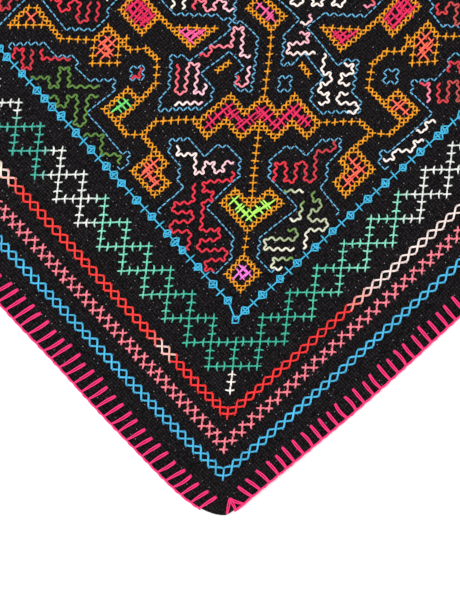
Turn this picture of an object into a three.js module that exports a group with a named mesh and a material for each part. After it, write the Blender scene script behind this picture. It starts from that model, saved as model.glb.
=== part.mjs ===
import * as THREE from 'three';

// A nearly square embroidered cotton cloth laid flat, in millimetres, +Z up.
// The origin is the middle of the cloth, on the surface that it lies on.
// The cloth is one sheet with a narrow turned hem, a little thicker than the rest.
// X runs along the weft and Y along the warp, and the needlework is counted in their threads.

// driving sizes
const stepX = 2.74; // one counted step of the needlework along X
const stepY = 2.42; // one counted step along Y, where the threads lie closer
const fieldStepsX = 90; // counted steps across the patterned middle
const fieldStepsY = 102;
const clothThickness = 1.3; // cotton with the yarn that lies on it
const hemThickness = 1.9; // two layers of cotton and the edge yarn
const hemWidth = 10; // turned under all round
const hemSlope = 3; // over which the hem falls to the plain cloth
const rimInset = 0.6; // rounds the outer edge
const cornerDraw = 1.2; // how far the stitching draws each corner in
const panelCount = 26; // cells across the plain cloth, inside the hem

// The edges across X and across Y: the border from the patterned middle out, how far the edge swells
// outwards halfway along, how far its ends are drawn in and how sharply, and a soft wave along it.
const edgeX = { border: 73.1, bow: 2, drawn: 8, sharp: 15, wave: [{ out: 0.2, turns: 6.3, start: 2.1 }] };
const edgeY = { border: 63.2, bow: 3.9, drawn: 0, sharp: 15, wave: [{ out: 0.7, turns: 2.5, start: 3.14 }] };
// places where the edge lifts a little off the surface: how high, how often, where it starts
const edgeLifts = [
  { up: 0.7, turns: 2.3, start: 1.9 },
  { up: 0.4, turns: 5.2, start: 0.4 },
];
const liftReach = 26; // how far in from the edge a lift dies out
// gentle unevenness of the face that the needlework draws up: height and waves along X and Y
const faceWaves = [
  { up: 0.12, alongX: 5.3, alongY: 3.7, start: 0.3 },
  { up: 0.08, alongX: 8.9, alongY: -7.1, start: 1.7 },
];

const halfX = (stepX * fieldStepsX) / 2 + edgeX.border;
const halfY = (stepY * fieldStepsY) / 2 + edgeY.border;

// The sum of a table of sines at t, which runs from -1 to 1 along an edge.
function sumOfWaves(table, size, t) {
  return table.reduce((sum, row) => sum + row[size] * Math.sin(row.turns * Math.PI * t + row.start), 0);
}

// How far out an edge lies at t: straight, with the bow, the drawn ends, and the wave that dies out there.
function edgeReach(half, edge, t) {
  const open = 1 - t * t;
  const wave = sumOfWaves(edge.wave, 'out', t) * Math.sqrt(Math.max(open, 0));
  return half + edge.bow * open + wave - edge.drawn * Math.abs(t) ** edge.sharp;
}

// The place of the grid point (s, t), both from -1 to 1, on a sheet whose outline is inset.
// Opposite edges match after half a turn, so the cloth is centred on the origin.
function place(s, t, inset) {
  const reachX = edgeReach(halfX, edgeX, t * Math.sign(s || 1)) - inset;
  const reachY = edgeReach(halfY, edgeY, s * Math.sign(t || 1)) - inset;
  const draw = cornerDraw * Math.abs(s * t) ** 40;
  return { x: s * reachX - Math.sign(s) * draw, y: t * reachY - Math.sign(t) * draw };
}

// How far the point (s, t) lies from the nearest edge, and the place along that edge.
function fromEdge(s, t) {
  const acrossX = (1 - Math.abs(s)) * halfX;
  const acrossY = (1 - Math.abs(t)) * halfY;
  const along = acrossX < acrossY ? t * Math.sign(s) : s * Math.sign(t);
  return { inwards: Math.min(acrossX, acrossY), along };
}

// How high the underside is: flat on the surface, with small lifts near the edge.
function underside(s, t) {
  const { inwards, along } = fromEdge(s, t);
  if (inwards >= liftReach) return 0;
  const fade = (1 - inwards / liftReach) ** 2;
  return Math.max(0, sumOfWaves(edgeLifts, 'up', along)) * fade;
}

// How thick the cloth is: the hem, the slope down from it, then the plain cloth with its soft waves.
function thickness(s, t) {
  const { inwards } = fromEdge(s, t);
  const fall = THREE.MathUtils.smoothstep(inwards, hemWidth, hemWidth + hemSlope);
  const uneven = faceWaves.reduce(
    (sum, row) => sum + row.up * Math.sin(row.alongX * s + row.alongY * t + row.start),
    0
  );
  return THREE.MathUtils.lerp(hemThickness, clothThickness + uneven, fall);
}

// Grid lines from -1 to 1: the edge, the two sides of the hem's slope, then even cells.
function gridLines(half) {
  const hemLines = [0, hemWidth, hemWidth + hemSlope].map((inwards) => 1 - inwards / half);
  const inner = hemLines[2];
  const lines = [-hemLines[0], -hemLines[1]];
  for (let k = 0; k <= panelCount; k += 1) {
    lines.push(THREE.MathUtils.lerp(-inner, inner, k / panelCount));
  }
  lines.push(hemLines[1], hemLines[0]);
  return lines;
}

// The sheet: an upper and a lower grid, joined round the outside by a rim at half their height.
function clothGeometry() {
  const linesX = gridLines(halfX);
  const linesY = gridLines(halfY);
  const last = linesX.length - 1;
  const points = [];
  const faces = [];
  const add = (x, y, z) => points.push(x, y, z) / 3 - 1;
  const quad = (a, b, c, d) => faces.push(a, b, c, a, c, d);

  const upper = [];
  const lower = [];
  linesY.forEach((t, row) => {
    upper[row] = [];
    lower[row] = [];
    linesX.forEach((s, column) => {
      const { x, y } = place(s, t, rimInset);
      const under = underside(s, t);
      upper[row][column] = add(x, y, under + thickness(s, t));
      lower[row][column] = add(x, y, under);
    });
  });
  for (let row = 0; row < last; row += 1) {
    for (let column = 0; column < last; column += 1) {
      const corners = [[row, column], [row, column + 1], [row + 1, column + 1], [row + 1, column]];
      quad(...corners.map(([r, c]) => upper[r][c]));
      quad(...corners.map(([r, c]) => lower[r][c]).reverse());
    }
  }

  // once round the outside, against the clock
  const ring = [];
  for (let k = 0; k < last; k += 1) ring.push([0, k]);
  for (let k = 0; k < last; k += 1) ring.push([k, last]);
  for (let k = last; k > 0; k -= 1) ring.push([last, k]);
  for (let k = last; k > 0; k -= 1) ring.push([k, 0]);
  const rim = ring.map(([row, column]) => {
    const s = linesX[column];
    const t = linesY[row];
    const { x, y } = place(s, t, 0);
    return add(x, y, underside(s, t) + thickness(s, t) / 2);
  });
  ring.forEach(([row, column], k) => {
    const next = (k + 1) % ring.length;
    const [nextRow, nextColumn] = ring[next];
    quad(lower[row][column], lower[nextRow][nextColumn], rim[next], rim[k]);
    quad(rim[k], rim[next], upper[nextRow][nextColumn], upper[row][column]);
  });

  const geometry = new THREE.BufferGeometry();
  geometry.setAttribute('position', new THREE.Float32BufferAttribute(points, 3));
  geometry.setIndex(faces);
  geometry.computeVertexNormals();
  return geometry;
}

const blackCotton = new THREE.MeshStandardMaterial({ color: 0x201d1f, roughness: 0.95, metalness: 0 });

const part = new THREE.Group();
const cloth = new THREE.Mesh(clothGeometry(), blackCotton);
cloth.name = 'cloth';
part.add(cloth);

export default part;
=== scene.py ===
# A square Shipibo cloth: black cotton worked in counted cross stitch, blanket stitched round its edge.
# Sizes are in millimetres until they go into a mesh, and the needlework is charted in crosses.
import math
import re

import bpy
import numpy as np
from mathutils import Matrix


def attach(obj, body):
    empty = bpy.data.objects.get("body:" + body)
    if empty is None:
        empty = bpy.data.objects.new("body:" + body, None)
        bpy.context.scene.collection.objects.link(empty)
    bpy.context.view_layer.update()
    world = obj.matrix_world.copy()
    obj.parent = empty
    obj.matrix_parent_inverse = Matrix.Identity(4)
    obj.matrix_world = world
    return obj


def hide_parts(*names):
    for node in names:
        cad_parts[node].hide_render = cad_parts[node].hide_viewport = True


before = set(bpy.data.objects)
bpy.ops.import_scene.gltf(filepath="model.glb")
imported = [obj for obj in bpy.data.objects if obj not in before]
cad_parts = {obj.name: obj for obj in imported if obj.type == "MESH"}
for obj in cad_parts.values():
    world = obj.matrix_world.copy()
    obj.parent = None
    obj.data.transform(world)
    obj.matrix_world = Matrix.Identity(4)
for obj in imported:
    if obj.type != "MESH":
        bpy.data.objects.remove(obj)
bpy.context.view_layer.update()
rng = np.random.default_rng(11)
mm = 0.001

view = {
    "lookAt": (-122.7, -117.2),  # the spot on the cloth in the middle of the view
    "turn": -42.2,  # degrees from the view's right-hand side to +X
    "height": 1200.0,
    "tall": 275.9,  # how much of the cloth the view's height covers
}
studio = {
    "paper": "#FFFFFF", "skyStrength": 0.92, "skyColour": "#FFFFFF",
    "softBox": 2200.0, "softBoxAt": (-700.0, 500.0, 1900.0), "softBoxWatts": 30.0,
    "floorSize": 6000.0, "floorDrop": 0.15,
}


def linear(code):
    # an sRGB hex code as linear red, green and blue
    c = np.array([int(code[k:k + 2], 16) for k in (1, 3, 5)]) / 255
    return np.where(c <= 0.04045, c / 12.92, ((c + 0.055) / 1.055) ** 2.4)


def rgba(code):
    return (*linear(code), 1.0)


def addNode(tree, kind, settings=None, **links):
    # a shader node; a link is input name = value, socket, or node for its first output; _0 is input 0
    node = tree.nodes.new("ShaderNode" + kind)
    for name, value in (settings or {}).items():
        setattr(node, name, value)
    for name, value in links.items():
        socket = node.inputs[int(name[1:]) if re.fullmatch(r"_\d+", name) else name.replace("_", " ")]
        value = value.outputs[0] if isinstance(value, bpy.types.Node) else value
        if isinstance(value, bpy.types.NodeSocket):
            tree.links.new(value, socket)
        else:
            socket.default_value = value
    return node


def newMaterial(name):
    material = bpy.data.materials.new(name)
    material.use_nodes = True
    material.node_tree.nodes.clear()
    return material, material.node_tree


def makeCamera():
    lens = bpy.data.cameras.new("camera")
    lens.sensor_width = 36
    lens.lens = lens.sensor_width * view["height"] / view["tall"]
    lens.clip_start, lens.clip_end = 0.01, 20
    camera = bpy.data.objects.new("camera", lens)
    camera.location = (view["lookAt"][0] * mm, view["lookAt"][1] * mm, view["height"] * mm)
    camera.rotation_euler = (0, 0, math.radians(view["turn"]))
    bpy.context.scene.collection.objects.link(camera)
    bpy.context.scene.camera = camera


def makeStudio():
    # white paper under an even white sky, with a large soft box that gives the yarn its relief
    scene = bpy.context.scene
    scene.view_settings.view_transform = "Standard"
    scene.world = bpy.data.worlds.new("softRoom")
    scene.world.use_nodes = True
    sky = scene.world.node_tree.nodes["Background"].inputs
    sky["Color"].default_value = rgba(studio["skyColour"])
    sky["Strength"].default_value = studio["skyStrength"]
    lamp = bpy.data.lights.new("softBox", "AREA")
    lamp.size = studio["softBox"] * mm
    lamp.energy = studio["softBoxWatts"]
    box = bpy.data.objects.new("softBox", lamp)
    box.location = np.array(studio["softBoxAt"]) * mm
    aim = np.array((*view["lookAt"], 0)) - studio["softBoxAt"]
    box.rotation_euler = (
        math.acos(-aim[2] / np.linalg.norm(aim)), 0, math.atan2(aim[1], aim[0]) - math.pi / 2)
    scene.collection.objects.link(box)
    half = studio["floorSize"] / 2 * mm
    low = -studio["floorDrop"] * mm
    mesh = bpy.data.meshes.new("floor")
    mesh.from_pydata([(-half, -half, low), (half, -half, low), (half, half, low), (-half, half, low)],
                     [], [(0, 1, 2, 3)])
    floor = bpy.data.objects.new("floor", mesh)
    scene.collection.objects.link(floor)
    material, tree = newMaterial("whitePaper")
    shader = addNode(tree, "BsdfPrincipled", Base_Color=rgba(studio["paper"]), Roughness=0.9)
    addNode(tree, "OutputMaterial", Surface=shader)
    mesh.materials.append(material)


makeCamera()
makeStudio()
print("camera, floor and light are in place")

cloth = {
    "stepX": 2.74, "stepY": 2.42,  # a counted step, half a cross each way
    "fieldStepsX": 90, "fieldStepsY": 102,
    "thickness": 1.3, "hemThickness": 1.9, "hemWidth": 10.0, "hemSlope": 3.0,
    "cornerDraw": 1.2, "cornerPower": 40,
    # the border from the field out, the bow halfway along, how far the ends are drawn in and how
    # sharply, and the wave: how far out, turns, start
    "edgeX": {"border": 73.1, "bow": 2.0, "drawn": 8.0, "sharp": 15, "wave": ((0.2, 6.3, 2.1),)},
    "edgeY": {"border": 63.2, "bow": 3.9, "drawn": 0.0, "sharp": 15, "wave": ((0.7, 2.5, 3.14),)},
    "edgeLifts": ((0.7, 2.3, 1.9), (0.4, 5.2, 0.4)),  # how high, turns, start
    "liftReach": 26.0,
    "faceWaves": ((0.12, 5.3, 3.7, 0.3), (0.08, 8.9, -7.1, 1.7)),  # how high, along X, along Y, start
    # how far the counted lines stray, over what inwards, and how long their waves are
    "waver": 0.9, "waverReach": 20.0, "waverLengths": (11.3, 31.0, 9.7, 27.0), "waverStart": 1.3,
    "cells": 200,
    # the rounded rim: the share of the height and how far in
    "rimRound": ((0.0, 0.32), (0.22, 0.14), (0.45, 0.03), (0.62, 0.0), (0.86, 0.08), (1.0, 0.32)),
}
countX, countY = cloth["fieldStepsX"], cloth["fieldStepsY"]
fieldX = cloth["stepX"] * countX / 2
fieldY = cloth["stepY"] * countY / 2
halfX = fieldX + cloth["edgeX"]["border"]
halfY = fieldY + cloth["edgeY"]["border"]


def side(value):
    return np.where(value < 0, -1.0, 1.0)


def sumOfWaves(rows, t):
    # the sum of each row's size times the sine of its turns along t
    return sum(size * np.sin(turns * np.pi * t + start) for size, turns, start in rows)


def edgeReach(axis, t):
    # how far out an edge lies at t from -1 to 1: straight, plus a bow, less the drawn ends, and a soft
    # wave that dies out at the corners
    half, edge = (halfX, cloth["edgeX"]) if axis == "x" else (halfY, cloth["edgeY"])
    free = np.clip(1 - t * t, 0, None)
    return (half + edge["bow"] * free + sumOfWaves(edge["wave"], t) * np.sqrt(free)
            - edge["drawn"] * np.clip(np.abs(t), 0, 1) ** edge["sharp"])


def place(s, t, inset=0.0):
    # x is s times the reach of the X edges, y is t times that of the Y edges, the corners drawn in
    draw = cloth["cornerDraw"] * np.abs(s * t) ** cloth["cornerPower"]
    x = s * (edgeReach("x", t * side(s)) - inset) - np.sign(s) * draw
    y = t * (edgeReach("y", s * side(t)) - inset) - np.sign(t) * draw
    return x, y


def spotOf(x, y):
    # the grid place (s, t) of a point, found by dividing by the reach four times over
    s, t = x / halfX, y / halfY
    for _ in range(4):
        s, t = x / edgeReach("x", t * side(s)), y / edgeReach("y", s * side(t))
    return np.clip(s, -1, 1), np.clip(t, -1, 1)


def heights(s, t):
    # the underside lifts near the edge; the thickness is the hem, its slope, then soft waves
    acrossX, acrossY = (1 - np.abs(s)) * halfX, (1 - np.abs(t)) * halfY
    along = np.where(acrossX < acrossY, t * np.sign(s), s * np.sign(t))
    inwards = np.minimum(acrossX, acrossY)
    fade = np.clip(1 - inwards / cloth["liftReach"], 0, None) ** 2
    low = np.clip(sumOfWaves(cloth["edgeLifts"], along), 0, None) * fade
    u = np.clip((inwards - cloth["hemWidth"]) / cloth["hemSlope"], 0, 1)
    fall = u * u * (3 - 2 * u)
    uneven = sum(up * np.sin(kx * s + ky * t + start) for up, kx, ky, start in cloth["faceWaves"])
    thick = cloth["hemThickness"] + (cloth["thickness"] + uneven - cloth["hemThickness"]) * fall
    return low, low + thick


def topOf(x, y):
    return heights(*spotOf(x, y))[1]


def newPiece(name, points, loops, starts, material, uv=None, shade=None, dye=None):
    # a mesh from whole arrays: points in mm, the corners of all faces in a row, where each face starts
    mesh = bpy.data.meshes.new(name)
    mesh.vertices.add(len(points))
    mesh.vertices.foreach_set("co", (points * mm).astype(np.float32).ravel())
    mesh.loops.add(len(loops))
    mesh.loops.foreach_set("vertex_index", loops.astype(np.int32))
    mesh.polygons.add(len(starts))
    mesh.polygons.foreach_set("loop_start", starts.astype(np.int32))
    if uv is not None:
        mesh.uv_layers.new(name="alongYarn").data.foreach_set("uv", uv.astype(np.float32).ravel())
        mesh.attributes.new("shade", "FLOAT", "POINT").data.foreach_set("value", shade.astype(np.float32))
        rows = np.column_stack([dye, np.ones(len(dye))]).astype(np.float32)
        mesh.attributes.new("dye", "FLOAT_COLOR", "POINT").data.foreach_set("color", rows.ravel())
    mesh.update(calc_edges=True)
    mesh.validate()
    mesh.polygons.foreach_set("use_smooth", np.ones(len(mesh.polygons), bool))
    mesh.materials.append(material)
    piece = bpy.data.objects.new(name, mesh)
    bpy.context.scene.collection.objects.link(piece)
    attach(piece, "root")
    mesh.calc_loop_triangles()
    print(f"{name}: {len(mesh.loop_triangles)} triangles")
    return piece


def makeCloth(material):
    # one grid of s and t at two heights, closer over the hem's slope, joined by a rounded rim of quads
    def rows(half):
        hem = [1 - cloth["hemWidth"] / half, 1 - (cloth["hemWidth"] + cloth["hemSlope"]) / half]
        return np.unique(np.concatenate([np.linspace(-1, 1, cloth["cells"]), hem, np.negative(hem)]))
    s, t = np.meshgrid(rows(halfX), rows(halfY))
    low, high = heights(s, t)
    x, y = place(s, t, cloth["rimRound"][0][1])
    n, m = s.shape
    grid = np.arange(n * m).reshape(n, m)
    ring = np.concatenate([grid[0, :-1], grid[:-1, -1], grid[-1, :0:-1], grid[:0:-1, 0]])
    ringS, ringT = s.ravel()[ring], t.ravel()[ring]
    ringLow, ringHigh = heights(ringS, ringT)
    points = [np.stack([x, y, low], -1).reshape(-1, 3)]
    levels = [ring]
    for k, (share, drawn) in enumerate(cloth["rimRound"][1:-1]):
        rimX, rimY = place(ringS, ringT, drawn)
        levels.append(n * m + k * len(ring) + np.arange(len(ring)))
        points.append(np.stack([rimX, rimY, ringLow + share * (ringHigh - ringLow)], -1))
    above = sum(len(p) for p in points)
    points.append(np.stack([x, y, high], -1).reshape(-1, 3))
    levels.append(ring + above)
    cell = np.stack([grid[:-1, :-1], grid[:-1, 1:], grid[1:, 1:], grid[1:, :-1]], -1).reshape(-1, 4)
    faces = [cell[:, ::-1], cell + above]
    for lower, upper in zip(levels[:-1], levels[1:]):
        faces.append(np.stack([lower, np.roll(lower, -1), np.roll(upper, -1), upper], -1))
    faces = np.concatenate(faces)
    piece = newPiece("blackCotton", np.concatenate(points), faces.ravel(),
                     np.arange(len(faces)) * 4, material)
    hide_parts("cloth")
    return piece


cotton = {
    # the gap colour is painted shade: how dark the cloth is painted between its threads
    "thread": "#2B272A", "paintedGapShade": "#020102", "lint": "#C9C3C6",
    "pitchX": 1.37, "pitchY": 1.21,  # half a counted step: twice as coarse as the thread, so that it shows
    "unevenSize": 2.2, "uneven": 1.5,  # how far apart and how far the threads are pulled aside
    "slubSize": 1.1, "slubFrom": 0.38, "slubTo": 0.68, "slubGain": 1.7,
    # specks of lint: how far apart, their core and rim, how few of them show and how bright
    "lintEvery": 3.4, "lintCore": 0.03, "lintRim": 0.085, "lintFew": 0.55, "lintBright": 0.6,
    "roughness": 0.85, "specular": 0.08, "bump": 0.22, "bumpStrength": 0.9,
}


def cottonMaterial():
    # plain woven black cotton: matt, with round threads, painted shade in the gaps between them, slubs and
    # specks of lint
    material, tree = newMaterial("wovenBlackCotton")
    spot = addNode(tree, "TexCoord").outputs["Object"]
    # the threads don't run quite straight
    drift = addNode(tree, "TexNoise", Vector=spot, Scale=1 / (cotton["unevenSize"] * mm), Detail=1.0)
    pulled = addNode(tree, "VectorMath", {"operation": "MULTIPLY_ADD"}, _0=drift.outputs["Color"],
                     _1=(cotton["uneven"] * mm,) * 3, _2=spot)
    axes = addNode(tree, "SeparateXYZ", _0=pulled)
    sines = []
    for axis, pitch in ((0, cotton["pitchX"]), (1, cotton["pitchY"])):
        turn = addNode(tree, "Math", {"operation": "MULTIPLY"}, _0=axes.outputs[axis],
                       _1=math.pi / (pitch * mm))
        sines.append(addNode(tree, "Math", {"operation": "SINE"}, _0=turn))
    # one thread lies on top wherever the two sines agree, the other where they don't
    weave = addNode(tree, "Math", {"operation": "MULTIPLY"}, _0=sines[0], _1=sines[1])
    crown = addNode(tree, "Math", {"operation": "ABSOLUTE"}, _0=weave)
    slub = addNode(tree, "TexNoise", Vector=spot, Scale=1 / (cotton["slubSize"] * mm),
                   Detail=3.0, Roughness=0.65)
    lump = addNode(tree, "MapRange", _0=slub, _1=cotton["slubFrom"],
                   _2=cotton["slubTo"], _3=0.0, _4=cotton["slubGain"])
    height = addNode(tree, "Math", {"operation": "MULTIPLY"}, _0=crown, _1=lump)
    # painted shade: the colour follows the weave's height and is darkest in the gaps between threads; where
    # the slub noise is low it also darkens at random, as grain
    colour = addNode(tree, "Mix", {"data_type": "RGBA", "clamp_factor": True},
                     _0=height, _6=rgba(cotton["paintedGapShade"]), _7=rgba(cotton["thread"]))
    speck = addNode(tree, "TexVoronoi", {"voronoi_dimensions": "2D"}, Vector=spot,
                    Scale=1 / (cotton["lintEvery"] * mm))
    near = addNode(tree, "MapRange", {"interpolation_type": "SMOOTHSTEP"},
                   _0=speck.outputs["Distance"], _1=cotton["lintCore"], _2=cotton["lintRim"],
                   _3=1.0, _4=0.0)
    pick = addNode(tree, "SeparateColor", Color=speck.outputs["Color"])
    some = addNode(tree, "MapRange", _0=pick, _1=cotton["lintFew"], _2=1.0, _3=0.0, _4=cotton["lintBright"])
    dust = addNode(tree, "Math", {"operation": "MULTIPLY"}, _0=near, _1=some)
    both = addNode(tree, "Mix", {"data_type": "RGBA"}, _0=dust,
                   _6=colour.outputs[2], _7=rgba(cotton["lint"]))
    bump = addNode(tree, "Bump", Height=height, Distance=cotton["bump"] * mm,
                   Strength=cotton["bumpStrength"])
    shader = addNode(tree, "BsdfPrincipled", Base_Color=both.outputs[2],
                     Roughness=cotton["roughness"], Normal=bump,
                     Specular_IOR_Level=cotton["specular"])
    addNode(tree, "OutputMaterial", Surface=shader)
    return material


clothPiece = makeCloth(cottonMaterial())

yarnLook = {
    # the groove level is painted shade: how dark the yarn is painted in the groove between its plies
    "twist": 1.7, "plies": 2, "grooveShadeLevel": 0.78, "grooveTo": 0.2, "bump": 0.10, "bumpStrength": 0.6,
    "roughness": 0.62, "specular": 0.3, "sheen": 0.12,
}


def yarnMaterial(name):
    # dyed cotton yarn: soft, slightly silky plies wound round each other, with painted shade in the groove
    # between;
    # the plies are drawn coarser than they are, so that they show
    material, tree = newMaterial(name + "DyedCottonYarn")
    uv = addNode(tree, "UVMap", {"uv_map": "alongYarn"})
    parts = addNode(tree, "SeparateXYZ", _0=uv)
    along = addNode(tree, "Math", {"operation": "MULTIPLY"}, _0=parts, _1=2 * math.pi / yarnLook["twist"])
    turn = addNode(tree, "Math", {"operation": "MULTIPLY_ADD"}, _0=parts.outputs[1],
                   _1=2 * math.pi * yarnLook["plies"], _2=along)
    wave = addNode(tree, "Math", {"operation": "SINE"}, _0=turn)
    ply = addNode(tree, "MapRange", _0=wave, _1=-1.0, _2=yarnLook["grooveTo"], _3=0.0, _4=1.0)
    dye = addNode(tree, "Attribute", {"attribute_name": "dye"}).outputs["Color"]
    shade = addNode(tree, "Attribute", {"attribute_name": "shade"}).outputs["Fac"]
    # painted shade: the yarn's colour is darkened in the groove between the plies
    paintedGrooveShade = addNode(tree, "MapRange", _0=ply, _1=0.0, _2=1.0, _3=yarnLook["grooveShadeLevel"], _4=1.0)
    tone = addNode(tree, "Math", {"operation": "MULTIPLY"}, _0=paintedGrooveShade, _1=shade)
    colour = addNode(tree, "VectorMath", {"operation": "SCALE"}, _0=dye, Scale=tone)
    bump = addNode(tree, "Bump", Height=ply, Distance=yarnLook["bump"] * mm,
                   Strength=yarnLook["bumpStrength"])
    shader = addNode(tree, "BsdfPrincipled", Base_Color=colour, Roughness=yarnLook["roughness"], Normal=bump,
                     Specular_IOR_Level=yarnLook["specular"], Sheen_Weight=yarnLook["sheen"])
    addNode(tree, "OutputMaterial", Surface=shader)
    return material


# The chart counts crosses, a to the right and b upwards when a corner of the cloth points down, from the
# field's corner; so a step of half a cross both ways is one counted step along X or along Y.


def stepsOf(at):
    # a+b steps along X and b-a along Y
    at = np.asarray(at, float)
    return at[..., 0] + at[..., 1], at[..., 1] - at[..., 0]


def chartOf(i, j):
    return np.stack([(i - j) / 2, (i + j) / 2], -1)


def onCloth(at):
    # inside the field the counted lines waver a little, as the threads of the ground do
    i, j = stepsOf(at)
    x, y = cloth["stepX"] * i - fieldX, cloth["stepY"] * j - fieldY
    inwards = np.minimum(fieldX - np.abs(x), fieldY - np.abs(y))
    fade = cloth["waver"] * np.clip(inwards / cloth["waverReach"], 0, 1)
    k = cloth["waverLengths"]
    return np.stack([x + fade * np.sin(y / k[0] + x / k[1]),
                     y + fade * np.sin(x / k[2] - y / k[3] + cloth["waverStart"])], -1)


def toCorner(at, flipX, flipY):
    # mirrors chart places in the field's middle lines
    i, j = stepsOf(at)
    return chartOf(countX - i if flipX else i, countY - j if flipY else j)


def ownHalf(at, slack=0.01):
    # which places lie on a corner's own half of each side
    i, j = stepsOf(at)
    return (i <= countX / 2 + slack) & (j <= countY / 2 + slack)


corners = ((False, False), (True, False), (False, True), (True, True))  # turned over in X, in Y


def tubes(path, radius, sides):
    # a ring round each place of a path, both ends closed; a path is (strands, rings, 3)
    n, rings = radius.shape
    along = np.gradient(path, axis=1)
    along /= np.linalg.norm(along, axis=-1, keepdims=True) + 1e-9
    across = np.cross(along, np.array([0.0, 0.0, 1.0]))
    across /= np.linalg.norm(across, axis=-1, keepdims=True) + 1e-9
    lift = np.cross(across, along)
    angle = 2 * np.pi * (np.arange(sides) + 0.5) / sides
    circle = across[:, :, None] * np.cos(angle)[:, None] + lift[:, :, None] * np.sin(angle)[:, None]
    points = path[:, :, None] + radius[:, :, None, None] * circle
    r, k = np.meshgrid(np.arange(rings - 1), np.arange(sides), indexing="ij")
    after = (k + 1) % sides
    quads = np.stack([r * sides + k, (r + 1) * sides + k, (r + 1) * sides + after, r * sides + after], -1)
    quads = quads.reshape(-1, 4)
    first, last = np.arange(sides), (rings - 1) * sides + np.arange(sides)[::-1]
    one = np.concatenate([quads.ravel(), first, last])
    loops = (one[None] + np.arange(n)[:, None] * rings * sides).ravel()
    starts = np.concatenate([np.arange(len(quads)) * 4, [quads.size, quads.size + sides]])
    starts = (starts[None] + np.arange(n)[:, None] * len(one)).ravel()
    run = np.cumsum(np.linalg.norm(np.diff(path, axis=1, prepend=path[:, :1]), axis=-1), axis=1)
    ringOf = np.concatenate([np.stack([r, r + 1, r + 1, r], -1).ravel(),
                             np.zeros(sides, int), np.full(sides, rings - 1)])
    turn = np.concatenate([np.stack([k, k, k + 1, k + 1], -1).ravel(), first, first]) / sides
    uv = np.stack([run[:, ringOf], np.broadcast_to(turn, (n, len(turn)))], -1).reshape(-1, 2)
    return points.reshape(-1, 3), loops, starts, uv


strand = {
    "rings": np.array([0, 0.2, 0.5, 0.8, 1.0]), "dip": 0.16, "waver": 0.09, "thinEnd": 0.8,
    "sit": 0.65, "lifted": 1.15,  # how high the middle lies and rises over another, in radii
    "uneven": 0.06, "tone": 0.06, "pathTone": 0.05,
}


def strandPaths(ends, radius, over, sweep, curl):
    # a strand dips into the cloth at both ends; over lifts it across another, sweep bends both ends to one
    # side, curl bends them opposite ways; ends are (n, 2, 2) in mm
    ends = ends + rng.normal(0, strand["waver"], ends.shape)
    u = strand["rings"]
    start, reach = ends[:, 0], ends[:, 1] - ends[:, 0]
    normal = np.stack([-reach[:, 1], reach[:, 0]], -1)
    normal /= np.linalg.norm(reach, axis=1, keepdims=True) + 1e-9
    bend = sweep[:, None] * (2 * u - 1) ** 2 + curl[:, None] * (2 * u - 1) ** 3
    flat = start[:, None] + reach[:, None] * u[:, None] + normal[:, None] * bend[..., None]
    arch = np.sin(np.pi * u).clip(0) ** 0.5
    rise = radius[:, None] * (strand["sit"] + strand["lifted"] * over[:, None])
    up = -strand["dip"] + (strand["dip"] + rise) * arch
    z = topOf(flat[..., 0], flat[..., 1]) + up
    thick = radius[:, None] * (strand["thinEnd"] + (1 - strand["thinEnd"]) * arch)
    return np.concatenate([flat, z[..., None]], -1), thick * rng.normal(1, strand["uneven"], (len(ends), 1))


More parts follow.
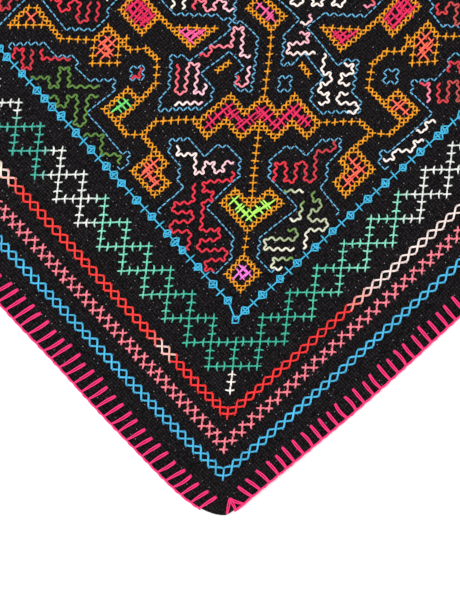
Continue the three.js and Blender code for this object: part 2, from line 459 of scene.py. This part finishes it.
class Work:
    # the strands of one piece of needlework, gathered before its mesh is made
    def __init__(self, name, yarn):
        self.name, self.yarn, self.rows, self.dyes, self.parts = name, yarn, [], [], []

    def strands(self, start, end, over=0.0, sweep=0.0, curl=0.0, dye=None, thick=1.0, flips=None):
        # straight strands between chart places, turned to a corner; the yarn's own dye where none is given
        if flips:
            start, end = toCorner(start, *flips), toCorner(end, *flips)
        start, end = np.atleast_2d(start).astype(float), np.atleast_2d(end).astype(float)
        n = len(start)
        more = [np.broadcast_to(np.asarray(v, float), n) for v in (over, sweep, curl, thick)]
        self.rows.append(np.column_stack([start, end, *more]))
        dye = self.yarn["dye"] if dye is None else dye
        self.dyes.append(np.broadcast_to(linear(dye) if isinstance(dye, str) else dye, (n, 3)))

    def crosses(self, at, arm=0.5, tick=None, sweepA=0.0, sweepB=0.0, dye=None, flips=corners[0]):
        # a cross is a strand of half length arm along a, and one of half length tick along b over it
        at = np.atleast_2d(at).astype(float)
        arm = np.broadcast_to(np.asarray(arm, float), len(at))
        tick = arm if tick is None else np.broadcast_to(np.asarray(tick, float), len(at))
        along, up = np.stack([arm, 0 * arm], -1), np.stack([0 * arm, tick], -1)
        hand = -1 if flips[0] != flips[1] else 1
        self.strands(at - along, at + along, 0.0, sweepA * hand, 0.0, dye, flips=flips)
        self.strands(at - up, at + up, 1.0, sweepB * hand, 0.0, dye, flips=flips)

    def add(self, path, radius, dye, sides):
        # whole paths in mm as tubes; dye is one colour, or one for each point of the path
        points, loops, starts, uv = tubes(path, radius, sides)
        tone = rng.normal(1, strand["pathTone"], len(path)).clip(0.85, 1.15)
        tone = np.repeat(tone, len(points) // len(path))
        dyes = np.tile(dye, (len(points), 1)) if np.ndim(dye) == 1 else np.repeat(dye, sides, axis=0)
        self.parts.append((points, loops, starts, uv, tone, dyes))

    def make(self):
        if self.rows:
            rows, dyes = np.concatenate(self.rows), np.concatenate(self.dyes)
            ends = np.stack([onCloth(rows[:, 0:2]), onCloth(rows[:, 2:4])], 1)
            radius = self.yarn["thick"] / 2 * rows[:, 7]
            path, thick = strandPaths(ends, radius, rows[:, 4], rows[:, 5], rows[:, 6])
            points, loops, starts, uv = tubes(path, thick, 4)
            per = len(points) // len(rows)
            tone = rng.normal(1, strand["tone"], len(rows)).clip(0.8, 1.15)
            self.parts.append((points, loops, starts, uv, np.repeat(tone, per),
                               np.repeat(dyes, per, axis=0)))
        pointCount = np.cumsum([0] + [len(p[0]) for p in self.parts])
        loopCount = np.cumsum([0] + [len(p[1]) for p in self.parts])
        moved = [(p[0], p[1] + pointCount[k], p[2] + loopCount[k], *p[3:]) for k, p in enumerate(self.parts)]
        points, loops, starts, uv, tone, dye = [np.concatenate(column) for column in zip(*moved)]
        return newPiece(self.name, points, loops, starts, yarnMaterial(self.yarn["finish"]),
                        uv, tone, dye)


def hueAlong(table, across):
    # the dye of a yarn that changes along its row, blended between the table's rows (place, hex)
    hues = np.array([linear(row[1]) for row in table])
    return np.stack([np.interp(across, [row[0] for row in table], hues[:, k]) for k in range(3)], -1)


# out is how many crosses outside the field a row runs, nearer in towards the corner and drifting out
# along each side; its corner stands aside to the right, and the corner's own cross drops by tip; a hue's
# place is counted in crosses to the right of the corner
wideRows = {
    "redRow": {
        "out": 12.5, "cornerIn": 0.55, "cornerReach": 4.0, "drift": (0.0, 0.1), "aside": 0.0, "tip": 0.0,
        "finish": "red", "dye": "#F0282A", "thick": 1.2, "cup": 0.7,
        "hues": ((-40, "#F6E2D6"), (-31, "#F6E2D6"), (-29.8, "#FF9D90"), (-29, "#F6342E"),
                 (-10.2, "#F6342E"), (-9, "#F2D2C8"), (-8, "#F2B4A8"), (-7, "#F0282A"), (13, "#F0282A"),
                 (14.8, "#F0A096"), (16.5, "#F0DCD6"), (40, "#F0DCD6"))},
    "blueRow": {
        "out": 20.0, "cornerIn": 0.7, "cornerReach": 4.0, "drift": (0.6, 0.1), "aside": 0.3, "tip": 0.3,
        "finish": "blue", "dye": "#44B4E0", "thick": 1.16, "cup": 0.9,
        "hues": ((0, "#44B4E0"),)},
}


# over how many crosses a row drifts and stands aside, and how late it is eased; a scale's curl, and the
# foot and head of the one at the corner
sideRun = {"driftOver": 30, "asideOver": 8, "easePower": 4}
scale = {"curl": (0.6, 0.95), "foot": 0.6, "head": 0.95}


def sidePlaces(row, hand):
    # places two steps apart from the corner to the middle of a side, eased so that both halves meet;
    # hand is -1 for the side on the left of the corner, 1 for the one on its right
    half = (countY if hand < 0 else countX) / 2
    count = round((half - 1 + row["out"]) / 2)
    k = np.arange(count + 1)
    out = (row["out"] - row["cornerIn"] * np.exp(-k / row["cornerReach"])
           + row["drift"][0 if hand < 0 else 1] * k / sideRun["driftOver"])
    ease = (half - 1 + out[-1] - 2 * count) * (k / count) ** sideRun["easePower"]
    aside = row["aside"] * np.exp(-k / sideRun["asideOver"])
    return np.stack([hand * (k + ease / 2) + aside, k + ease / 2 - out - row["tip"] * (k == 0)], -1)


def wideRow(name):
    # crosses whose arms are a whole cross long, so that each reaches its neighbours, curled into scales;
    # the one at the corner itself has a short foot and cups upwards
    yarn = wideRows[name]
    work = Work(name, yarn)
    for flips in corners:
        turnedOver = -1 if flips[0] != flips[1] else 1
        for hand in (-1, 1):
            at = sidePlaces(yarn, hand)[1:]
            curl = hand * turnedOver * rng.uniform(*scale["curl"], len(at))
            hue = hueAlong(yarn["hues"], at[:, 0])
            work.strands(at - (1, 0), at + (1, 0), 0.0, 0.0, curl, hue, flips=flips)
            work.strands(at - (0, 1), at + (0, 1), 1.0, 0.0, -curl, hue, flips=flips)
        tip = sidePlaces(yarn, 1)[0]
        work.strands(tip - (1, 0), tip + (1, 0), 0.0, yarn["cup"] * turnedOver, flips=flips)
        work.strands(tip - (0, scale["foot"]), tip + (0, scale["head"]), 1.0, flips=flips)
    return work.make()


pink = {
    "out": 15.3, "cornerIn": 0.1, "cornerReach": 4.0, "drift": (0.95, 0.1), "aside": 0.0, "tip": 0.0,
    "finish": "pink", "dye": "#F8808F", "thick": 1.16, "sweep": 0.5, "arm": 0.49,
}


def pinkRow():
    # a stair of single crosses, two one above the other at each tread
    work = Work("pinkRow", pink)
    for flips in corners:
        for hand in (-1, 1):
            tread = sidePlaces(pink, hand)[1:]
            at = np.concatenate([tread, tread - (0, 1)])
            at = at[ownHalf(at)]
            if hand > 0:  # the two at the corner itself
                at = np.concatenate([at, [(0, -pink["out"]), (0, -pink["out"] - 1)]])
            if not flips[0 if hand > 0 else 1]:  # the cross where the two halves of a side meet
                at = np.concatenate([at, tread[-1:] + (hand, 0)])
            bend = rng.uniform(-1, 1, (2, len(at))) * pink["sweep"]
            work.crosses(at, pink["arm"], None, bend[0], bend[1], flips=flips)
    return work.make()


stairs = {
    "finish": "green", "tail": "#FFF6EE", "thick": 1.0, "arm": 0.52,
    "square": 3, "squares": 9,  # crosses to a square's side, and squares from the corner on
    "leanA": 0.35, "leanB": 0.45,
    "hues": ((-45, "#3FAE9C"), (-26.2, "#3FAE9C"), (-25.2, "#E6EAE4"), (-19.5, "#E6EAE4"),
             (-18.5, "#86DCC0"), (-12, "#6CD0B0"), (-7, "#3CB49A"), (6, "#32B096"), (10, "#50C4A4"),
             (15, "#86DCC0"), (18, "#86DCC0"), (20, "#E6EAE4"), (26.6, "#E6EAE4"), (27.6, "#3FAE9C")),
}


def stairRows():
    # open squares three crosses wide that share corners, each a square further along and up the side
    size = stairs["square"]
    run = np.arange(2 * size + 1)
    squares = np.arange(stairs["squares"])[:, None] * size
    flat = np.stack([-squares - run, squares - size + 0 * run], -1).reshape(-1, 2)
    tall = np.stack([-squares - size + 0 * run, squares - run], -1).reshape(-1, 2)
    first = np.arange(size + 1)
    flat = np.concatenate([flat, np.stack([-first, -2 * size + 0 * first], -1)])
    tall = np.concatenate([tall, np.stack([0 * run, -size - run], -1)])
    both = np.unique(np.concatenate([flat, flat * (-1, 1), tall, tall * (-1, 1)]), axis=0)
    both = both[ownHalf(both)]

    def among(line):
        line = np.concatenate([line, line * (-1, 1)])
        return (both[:, None] == line[None]).all(-1).any(-1)
    onFlat, onTall = among(flat), among(tall)
    hue = hueAlong(stairs["hues"], both[:, 0])
    hue[(both[:, 0] == 0) & (both[:, 1] < -2 * size)] = linear(stairs["tail"])
    work = Work("stairRows", stairs)
    for flips in corners:
        leanA, leanB = [rng.choice((-lean, lean), len(both))
                        for lean in (stairs["leanA"], stairs["leanB"])]
        work.crosses(both, stairs["arm"], None, np.where(onTall & ~onFlat, leanA, 0),
                     np.where(onFlat & ~onTall, leanB, 0), hue, flips)
    return work.make()


inner = {
    "finish": "sky", "dye": "#3CB4DC", "thick": 0.9,
    # the first stitch and pitch on the left and on the right of the corner, and how far inside
    "left": (1.5, 1.05, 0.65), "right": (0.74, 0.97, 0.13), "count": 26, "past": 0.8,
    "from": 0.15, "to": 1.05,  # how far a stitch starts before its place and ends after it, in pitches
    "tick": 0.45, "knot": 0.4, "uneven": 0.05, "across": 0.12, "extraKnots": 0.14,
    "corner": (-0.3, -0.25),
    # how high a knot's ring, the strand through it and the topmost one rise, and how thin that is
    "ringOver": 0.6, "cutOver": 0.9, "topOver": 1.2, "topThin": 0.8,
}


def innerLine():
    # a running line round the field; a tick across it and a knotted square take turns, with a second
    # square in a row now and then
    work = Work("innerLine", inner)
    knot, tick = inner["knot"], inner["tick"]
    ring = np.array([(-knot, -knot), (knot, -knot), (knot, knot), (-knot, knot), (-knot, -knot)])
    for flips in corners:
        for hand in (-1, 1):
            first, pitch, inside = inner["left" if hand < 0 else "right"]
            a = first + pitch * np.arange(inner["count"])
            at = np.stack([hand * a, a + inside], -1)
            at = at[ownHalf(at, inner["past"])]
            step, cut = np.array((hand, 1.0)) * pitch, np.array((hand, -1.0))
            work.strands(at - step * inner["from"], at + step * inner["to"], flips=flips)
            square = (np.arange(len(at)) % 2 == 0) | (rng.random(len(at)) < inner["extraKnots"])
            ticks, knots = at[~square], at[square]
            work.strands(ticks - cut * tick, ticks + cut * tick, 1.0, flips=flips)
            uneven = ring[:, None] + rng.normal(0, inner["uneven"], (5, len(knots), 2))
            for k in range(4):
                work.strands(knots + uneven[k], knots + uneven[k + 1], inner["ringOver"], flips=flips)
            work.strands(knots - cut * knot, knots + cut * knot, inner["cutOver"], flips=flips)
            across = rng.normal(0, inner["across"], (2, len(knots), 2))
            across = across + np.array(((-knot, 0), (knot, 0)))[:, None]
            work.strands(knots + across[0], knots + across[1], inner["topOver"],
                         thick=inner["topThin"], flips=flips)
        heart = np.array(inner["corner"])
        for k in range(4):
            work.strands(heart + ring[k], heart + ring[k + 1], inner["ringOver"], flips=flips)
        for first, inside, hand in ((*inner["left"][::2], -1), (*inner["right"][::2], 1)):
            work.strands(heart, (hand * first, first + inside), inner["cutOver"], flips=flips)
    return work.make()


blanket = {
    "finish": "magenta", "dye": "#FC2878", "thick": 0.66, "edgeThick": 1.25, "edgeOut": 0.35,
    "bow": 0.2, "bowSkew": 1.3, "sway": 0.3, "apart": 0.74, "thickens": (0.15, 0.8),
    # along an arm from foot to head: where, and how high over the cloth
    "armAt": (0, 0.12, 0.3, 0.55, 0.8, 0.93, 1.0), "armUp": (-0.1, 0.4, 0.45, 0.45, 0.45, 0.25, -0.2),
    # how clear of the far end, how uneven, and over how many mm from the corner leans settle and arms grow
    "ends": 6, "uneven": 0.05, "leanUneven": 0.1, "leanOver": 11, "longOver": (20, 120),
    # the strand along the edge: last knot, points to a gap, sag, how far in and up it lies, swell
    "lastKnot": 5, "fine": 5, "sag": 0.3, "edgeIn": 0.35, "edgeHigh": 0.72, "swell": 0.12,
    # each side: the first arm and spacing along the edge, length near the corner and far from it, lean
    # along the edge and near the corner, how thick at the edge and at the inner end
    "west": {"first": 11.4, "every": 4.98, "long": (8.6, 10.6), "lean": 1.9, "near": 1.4, "foot": 0.8,
             "head": 1.25, "edgeFrom": 11.0},
    "south": {"first": 16.1, "every": 5.29, "long": (7.6, 8.2), "lean": -0.3, "near": 2.4, "foot": 1.15,
              "head": 1.1, "edgeFrom": 5.6},
    # the corner's fan, each place along the south edge and inwards: where it meets, and its feet
    "heart": (8.0, 5.7),
    "fanFeet": ((2.2, 1.3), (6.4, 0.0), (11.2, 0.0)),
}


def edgePoint(name, along, inwards):
    # a point along mm from the corner at low X and low Y, and inwards mm from that edge
    if name == "west":
        t = along / halfY - 1
        return np.stack([-edgeReach("x", -t) + inwards, t * edgeReach("y", -1.0)], -1)
    s = along / halfX - 1
    return np.stack([s * edgeReach("x", -1.0), -edgeReach("y", -s) + inwards], -1)


def blanketArms(work, foot, head, footThick, headThick):
    # each arm is two strands from the edge to where it dips in; they bow apart and sway to one side
    u = np.array(blanket["armAt"])
    line = head - foot
    normal = np.stack([-line[:, 1], line[:, 0]], -1) / np.linalg.norm(line, axis=1, keepdims=True)
    sway = rng.normal(0, blanket["sway"], (len(foot), 1, 1)) * normal[:, None]
    base = foot[:, None] + line[:, None] * u[:, None] + sway * np.sin(np.pi * u)[:, None]
    thick = blanket["thick"] / 2 * np.interp(u, blanket["thickens"], (footThick, headThick))
    up = np.array(blanket["armUp"])
    for hand in (-1, 1):
        apart = thick * blanket["apart"] + blanket["bow"] * np.sin(np.pi * u ** blanket["bowSkew"])
        flat = base + hand * normal[:, None] * apart[:, None]
        for turned in (1, -1):
            spots = flat * turned
            path = np.concatenate([spots, (topOf(spots[..., 0], spots[..., 1]) + up)[..., None]], -1)
            work.add(path, np.tile(thick, (len(foot), 1)), linear(blanket["dye"]), 6)


def blanketStitch():
    # doubled arms, caught by a strand along the edge that sags outwards between them; the far sides are
    # the near ones turned half round
    work = Work("blanketStitch", blanket)
    for name in ("west", "south"):
        row = blanket[name]
        whole = 2 * (halfY if name == "west" else halfX)
        count = int((whole - row["first"] - blanket["ends"]) / row["every"])
        at = row["first"] + row["every"] * (np.arange(count) + rng.normal(0, blanket["uneven"], count))
        settle = np.exp(-((at - row["first"]) / blanket["leanOver"]) ** 2)
        lean = row["lean"] + (row["near"] - row["lean"]) * settle
        long = np.interp(at, blanket["longOver"], row["long"]) * rng.normal(1, blanket["uneven"], count)
        lean = lean * rng.normal(1, blanket["leanUneven"], count)
        blanketArms(work, edgePoint(name, at, np.full(count, 0.0)), edgePoint(name, at - lean, long),
                    row["foot"], row["head"])
        knots = np.concatenate([[row["edgeFrom"]], at, [whole - blanket["lastKnot"]]])
        fine = np.linspace(0, len(knots) - 1, (len(knots) - 1) * blanket["fine"] + 1)
        run = np.interp(fine, np.arange(len(knots)), knots)
        out = blanket["edgeOut"] + blanket["sag"] * np.sin(np.pi * (fine % 1)) ** 2
        rim = edgePoint(name, run, -out + blanket["edgeIn"])
        inside = edgePoint(name, run, np.full(len(run), 1.0))
        radius = blanket["edgeThick"] / 2 * (1 + blanket["swell"] * np.sin(run * 1.9))
        for turned in (1, -1):
            low, high = heights(*spotOf(*(inside * turned).T))
            path = np.column_stack([rim * turned, low + (high - low) * blanket["edgeHigh"]])
            work.add(path[None], radius[None], linear(blanket["dye"]), 8)
    feet = edgePoint("south", *np.array(blanket["fanFeet"]).T)
    heart = edgePoint("south", *np.tile(blanket["heart"], (len(feet), 1)).T)
    blanketArms(work, feet, heart, 1.0, 1.0)
    return work.make()


# The field's figures stand either side of the axis through the corner, and the top of the field is the
# bottom turned half round. A walk starts at a, b and goes n, e, s or w by whole crosses, and ne, se, sw
# or nw by counted steps; both is whether it has a twin across the axis, fill is for a closed walk alone,
# and a second fill is the twin's.
field = {
    "figures": (
        # a, b, walk, both, fill
        (0, 7.5, "se4 sw4 nw4 ne4", False, "violet"),
        (0, 7.5, "n3", False, None),
        (0, 10.5, "ne7 nw3 sw4 nw4 sw3 se7", False, "lime"),
        (0, 13.5, "n11", False, None),
        (7.5, 24, "nw7 sw4 nw4 sw4 nw4 sw7 se3 ne4 se4 ne4 se4 ne4 se4 ne3", False, "crimson"),
        (7.5, 24, "e5 se3 sw4", True, None),
        (12, 20.5, "se5 sw6 nw3 ne3 nw2 ne3", True, "salmon"),
        (14, 22.5, "e2 ne3", True, None),
        (17.5, 24, "ne3 nw5 sw3 se5", True, "salmon/green"),
        (15, 26.5, "nw4 n3", True, None),
        (0, 27.5, "n8", False, None),
        (0, 35.5, "ne3 nw6 sw3 se6", False, "pink"),
        (-1.5, 40, "nw3 n2", False, None),
        (9, 33, "ne5 w5 se5", True, "crimson/pink"),
        (11.5, 35.5, "ne3", True, None),
        (13, 31.5, "ne3 e2 ne2", True, None),
        (13, 37, "ne6 se4 sw6 nw4", True, "crimson"),
        (17.5, 34, "ne4 se3 s3 w3 n2 nw2", True, "salmon"),
        (22, 34.5, "e3 ne3", True, None),
        (26.5, 36, "ne4 e1 se4 w5", True, "salmon"),
        (4.5, 31, "se2", True, None),
        (-3, 43, "ne10 nw10 sw10 se10", False, "crimson"),
        (6, 43, "ne5 nw5 sw5 se5", False, "green"),
        (14, 44, "ne4 se4 sw4 nw4", True, "lime"),
        (-3, 53, "n3", False, None),
    ),
    "cornerFigures": 4,  # how many of the first figures stand in the side corners too
    "twinShift": (-0.5, 0.5),  # a twin is worked one counted step off
    "inside": 2.0,  # steps kept clear inside the field's edge
}
fills = {"violet": "#F078D8", "lime": "#B8FA64", "crimson": "#E61E5C", "salmon": "#FF6A50",
         "green": "#6EE070", "pink": "#FF5E9E"}
moves = {"n": (0, 1), "s": (0, -1), "e": (1, 0), "w": (-1, 0), "ne": (0.5, 0.5), "nw": (-0.5, 0.5),
         "se": (0.5, -0.5), "sw": (-0.5, -0.5)}


def walkFrom(a, b, walk):
    # every counted place along a walk
    steps = [moves[way] for way, count in re.findall(r"([nsew]+)(\d+)", walk) for _ in range(int(count))]
    return np.cumsum([(a, b), *steps], axis=0)


def inField(at, margin):
    i, j = stepsOf(at)
    return (i > margin) & (i < countX - margin) & (j > margin) & (j < countY - margin)


def turnedRound(at):
    # the half turn about the middle of the field
    return chartOf(countX, countY) - at


def allFigures():
    # each figure's places and fill: as charted, its twin, the side corners' own, and all of them turned
    found = []
    for number, (a, b, walk, both, fill) in enumerate(field["figures"]):
        line = walkFrom(a, b, walk)
        found.append((line, fill and fill.split("/")[0]))
        if both:
            found.append((line * (-1, 1) + field["twinShift"], fill and fill.split("/")[-1]))
        if number < field["cornerFigures"]:
            half = countX / 2
            found.append((np.stack([half - line[:, 1], half + line[:, 0]], -1), fill))
    return found + [(turnedRound(line), fill) for line, fill in found]


def insideOf(line, at):
    # the even-odd rule: how many of the outline's edges lie to the right of each place
    start, end = line, np.roll(line, -1, axis=0)
    crosses = (start[None, :, 1] > at[:, None, 1]) != (end[None, :, 1] > at[:, None, 1])
    rise = end[:, 1] - start[:, 1]
    slope = np.where(rise == 0, 0, (end[:, 0] - start[:, 0]) / np.where(rise == 0, 1, rise))
    reach = start[None, :, 0] + slope[None] * (at[:, None, 1] - start[None, :, 1])
    return (crosses & (at[:, None, 0] < reach)).sum(1) % 2 == 1


figure = {"finish": "orange", "dye": "#EE9C04", "thick": 0.9, "arm": 0.43, "bend": 0.25}
hatch = {
    "finish": "bright", "thick": 1.04,
    # a strand's half length and how much it varies, how far it strays, how clear of the outline it starts
    "long": 0.54, "vary": (0.7, 1.3), "loose": 0.13, "clear": 0.66,
}
figures = allFigures()


def figureOutlines():
    # every outline and stem as a chain of crosses
    work = Work("figureOutlines", figure)
    at = np.unique(np.round(np.concatenate([line for line, fill in figures]) * 2) / 2, axis=0)
    at = at[inField(at, field["inside"])]
    bend = rng.uniform(-figure["bend"], figure["bend"], (2, len(at)))
    work.crosses(at, figure["arm"], None, bend[0], bend[1])
    return work.make()


def figureFills():
    # a close, loose hatch of strands along both counted directions over each closed figure
    work = Work("figureFills", hatch)
    i, j = np.meshgrid(np.arange(countX + 1), np.arange(countY + 1))
    holes = chartOf(i.ravel().astype(float), j.ravel().astype(float))
    for line, fill in figures:
        if fill:
            apart = np.linalg.norm(holes[:, None] - line[None], axis=-1).min(1)
            at = holes[(apart > hatch["clear"]) & insideOf(line, holes)]
            for way in ((1, 1), (1, -1)):
                reach = np.array(way) * hatch["long"] * rng.uniform(*hatch["vary"], (len(at), 1))
                mid = at + rng.normal(0, hatch["loose"], at.shape)
                work.strands(mid - reach, mid + reach, way[1] * 0.5 + 0.5, dye=fills[fill])
    return work.make()


echo = {
    "finish": "paleBlue", "dye": "#62B0D8", "thick": 0.8, "short": 0.14,
    # in counted steps: how far the lines keep from figures and from the field's edge, how round they
    # turn, and how near the edge they are left out
    "apart": 1.7, "edge": 1.4, "round": 1.0, "open": 1.9,
}


def farFrom(marked):
    # how far each place of a grid is from the nearest marked one: down the columns, then along the rows
    n, m = marked.shape
    rows, columns = [(np.arange(size)[:, None] - np.arange(size)) ** 2 for size in (n, m)]
    down = (np.where(marked, 0, 1e6)[:, None] + rows[..., None]).min(0)
    return np.sqrt((down[:, :, None] + columns).min(1))


def openGround():
    # the squares between counted steps that lie clear of every figure and of the field's edge, with
    # narrow necks closed and corners rounded
    worked = np.zeros((countX, countY), bool)
    i, j = np.meshgrid(np.arange(countX) + 0.5, np.arange(countY) + 0.5, indexing="ij")
    middles = chartOf(i, j).reshape(-1, 2)
    for line, fill in figures:
        for beside in ((0, 0), (-1, 0), (0, -1), (-1, -1)):
            across, up = [(k + back).astype(int) for k, back in zip(stepsOf(line), beside)]
            worked[across.clip(0, countX - 1), up.clip(0, countY - 1)] = True
        if fill:
            worked |= insideOf(line, middles).reshape(countX, countY)
    edge = np.minimum(np.minimum(i, countX - i), np.minimum(j, countY - j))
    clear = (farFrom(worked) > echo["apart"]) & (edge > echo["edge"])
    core = farFrom(~clear) > echo["round"]
    return (farFrom(core) <= echo["round"]) if core.any() else core


ground = openGround()


def echoLines():
    # a running line of one-step stitches round each piece of open ground, but not along the field's edge
    work = Work("echoLines", echo)
    half = 0.5 - echo["short"]
    for axis, reach in ((0, (0, half)), (1, (half, 0))):
        middle = np.argwhere(np.diff(ground.astype(int), axis=axis))
        middle = middle + np.where(np.arange(2) == axis, 1.0, 0.5)
        middle = middle[inField(chartOf(*middle.T), echo["open"])]
        work.strands(chartOf(*(middle - reach).T), chartOf(*(middle + reach).T))
    return work.make()


meander = {
    "finish": "meander", "thick": 1.06,
    # line spacing, clearance, a band's height in lines, how often a line breaks off, the shortest worked,
    # and how far out the lines are laid
    "pitch": 1.2, "clear": 0.8, "tall": 4.0, "breaks": 0.08, "least": 2, "span": 60,
    # the swing to each side, fine steps from place to place, over how many of them corners are rounded
    "wave": 0.17, "fine": 10, "soften": 5, "stray": 0.03,
    "up": 0.36, "tuck": -0.15, "swell": 0.09,  # how high it lies in thicknesses, its ends, and how it swells
    # the colours by place: a, b, the yarn's two ends; the nearest row is worked
    "colours": (
        (-6, 13, "#D8203C", "#E8203C"), (6, 12, "#F4EFDC", "#5E8A32"), (-8, 21, "#FFF1E8", "#FFC0CE"),
        (6, 21, "#E8203A", "#B8303A"), (-22, 26, "#4E7A2E", "#5A8632"), (-17, 29, "#E8203A", "#C0283A"),
        (-8, 33, "#F0304A", "#FFD0DC"), (3, 34, "#FFF0E6", "#F8A8BC"), (16, 21, "#FFF3EA", "#FFF3EA"),
        (8, 28, "#FFF1E8", "#FFF1E8"), (17, 32, "#FF9AB8", "#E8203A"), (-26, 38, "#E8203A", "#C0283A"),
        (-16, 37, "#F0EEDC", "#5E8A32"), (24, 33, "#D8283A", "#8A5A46"), (2, 40, "#FFF1E8", "#FFF1E8")),
}


def pocketsOf(free):
    # neighbouring free cells share a number: the highest one is passed round until nothing changes
    number = np.where(free, np.arange(1, free.size + 1).reshape(free.shape), 0)
    while True:
        near = [np.roll(number, shift, axis) for shift, axis in ((1, 0), (-1, 0), (1, 1), (-1, 1))]
        wider = np.where(free, np.max([number, *near], axis=0), 0)
        if (wider == number).all():
            return number
        number = wider


def keysOver(cells):
    # the fingers of a key pattern, band by band: a line runs up one column of a pocket and down the next,
    # as far as both are free, and ends where the next is closed, or now and then of itself
    found = []
    levels = np.flatnonzero(cells.any(0))
    for band in np.array_split(levels, max(1, round(len(levels) / meander["tall"]))):
        path, level, up = [], None, rng.random() < 0.5
        for m in np.flatnonzero(cells[:, band].any(1)):
            free = [n for n in band if cells[m, n]]
            if level is None or level not in free:
                found.append(path)
                path, level = [], (free[0] if up else free[-1])
            step = 1 if up else -1
            climb = [level]
            while climb[-1] + step in free:
                climb.append(climb[-1] + step)
            keep = len(climb)
            while keep and not cells[m + 1, climb[keep - 1]]:
                keep -= 1
            path += [(m, n) for n in climb[:keep or len(climb)]]
            level = climb[keep - 1] if keep and rng.random() > meander["breaks"] else None
            up = not up
        found.append(path)
    return found


def meanderWalks():
    # the keys of every pocket of open ground, on a coarse grid, each with the number of its colour row;
    # fingers lie across the pocket's longer way
    pitch = meander["pitch"]
    span = int(meander["span"] / pitch)
    m, n = np.meshgrid(np.arange(-span, span + 1), np.arange(0, 2 * span), indexing="ij")
    at = np.stack([m * pitch, n * pitch], -1)
    i, j = stepsOf(at)
    depth = farFrom(~ground)
    depth = depth[i.astype(int).clip(0, countX - 1), j.astype(int).clip(0, countY - 1)]
    free = inField(at, 1) & (depth > meander["clear"])
    free[[0, -1]] = free[:, [0, -1]] = False
    upper = i + j > (countX + countY) / 2
    home = np.where(upper[..., None], turnedRound(at), at)
    seeds = np.array([row[:2] for row in meander["colours"]], float)
    row = np.linalg.norm(home[:, :, None] - seeds, axis=-1).argmin(-1)
    walks = []
    for k in range(len(seeds)):
        number = pocketsOf(free & (row == k))
        for pocket in np.unique(number[number > 0]):
            cells = number == pocket
            wide = np.ptp(np.flatnonzero(cells.any(1))) >= np.ptp(np.flatnonzero(cells.any(0)))
            for path in keysOver(cells if wide else cells.T):
                if len(path) > meander["least"]:
                    way = np.array(path)
                    walks.append((k, at[way[:, 0], way[:, 1]] if wide else at[way[:, 1], way[:, 0]]))
    return walks


def meanders():
    # each walk as one soft yarn: its corners are rounded by averaging over fine steps, and it swings once
    # in every cross, as a running line of half crosses does
    work = Work("meanders", meander)
    for row, walk in meanderWalks():
        first, last = [linear(code) for code in meander["colours"][row][2:]]
        u = np.linspace(0, len(walk) - 1, (len(walk) - 1) * meander["fine"] + 1)
        flat = np.stack([np.interp(u, np.arange(len(walk)), walk[:, k]) for k in (0, 1)], -1)
        mean = np.ones(meander["soften"]) / meander["soften"]
        flat = np.pad(flat, ((len(mean) // 2,) * 2, (0, 0)), "edge")
        flat = np.stack([np.convolve(flat[:, k], mean, "valid") for k in (0, 1)], -1)
        onward = np.gradient(flat, axis=0)
        onward /= np.linalg.norm(onward, axis=1, keepdims=True) + 1e-9
        swing = meander["wave"] * np.sin(2 * np.pi * u * meander["pitch"] + rng.uniform(0, 6))
        flat = onCloth(flat + swing[:, None] * onward[:, ::-1] * (-1, 1))
        flat = flat + rng.normal(0, meander["stray"], flat.shape)
        up = np.full(len(flat), meander["thick"] * meander["up"])
        up[[0, -1]] = meander["tuck"]
        path = np.column_stack([flat, topOf(flat[:, 0], flat[:, 1]) + up])
        blend = np.linspace(0, 1, len(flat))[:, None]
        radius = meander["thick"] / 2 * (1 + meander["swell"] * np.sin(u * 7.1))
        work.add(path[None], radius[None], first + (last - first) * blend, 5)
    return work.make()


pieces = [wideRow("redRow"), wideRow("blueRow"), pinkRow(), stairRows(), innerLine(), blanketStitch()]
print("the border is worked")
pieces += [figureOutlines(), figureFills(), echoLines(), meanders()]
print("the field is worked")
